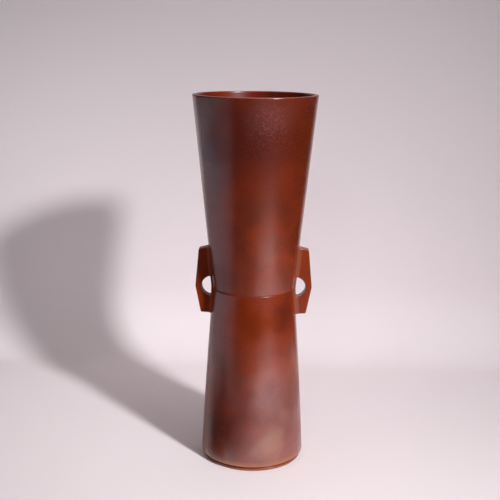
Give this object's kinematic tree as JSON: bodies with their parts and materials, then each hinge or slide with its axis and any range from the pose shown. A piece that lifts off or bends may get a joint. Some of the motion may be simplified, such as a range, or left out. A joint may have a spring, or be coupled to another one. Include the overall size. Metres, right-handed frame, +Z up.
{
  "type": "bronze vase",
  "caption": "Tall patinated bronze flower vase: a flared upper cone seated on a tapering base at a narrow waist, with a flat pierced ear on each side of the seam.",
  "frame": {"origin": "on the vase's axis, on the surface that the foot ring rests on", "axes": "+Z up along the axis, +X towards the right ear seen from the front, -Y towards the viewer"},
  "size_m": [0.0972, 0.0972, 0.295],
  "materials": {
    "patinated_bronze": "satin, clouded red-brown patina under wax",
    "bare_bronze": "turned, unpatinated",
    "solder": "as flowed"
  },
  "bodies": {
    "root": {"upper_body": "patinated_bronze", "lower_body": "patinated_bronze", "base_plate": "patinated_bronze", "foot_ring": "patinated_bronze", "seam_solder_ring": "solder", "base_solder_ring": "solder", "right_ear": "patinated_bronze", "right_ear_upper_pin": "bare_bronze", "right_ear_lower_pin": "bare_bronze", "left_ear": "patinated_bronze", "left_ear_upper_pin": "bare_bronze", "left_ear_lower_pin": "bare_bronze"}
  },
  "joints": []
}
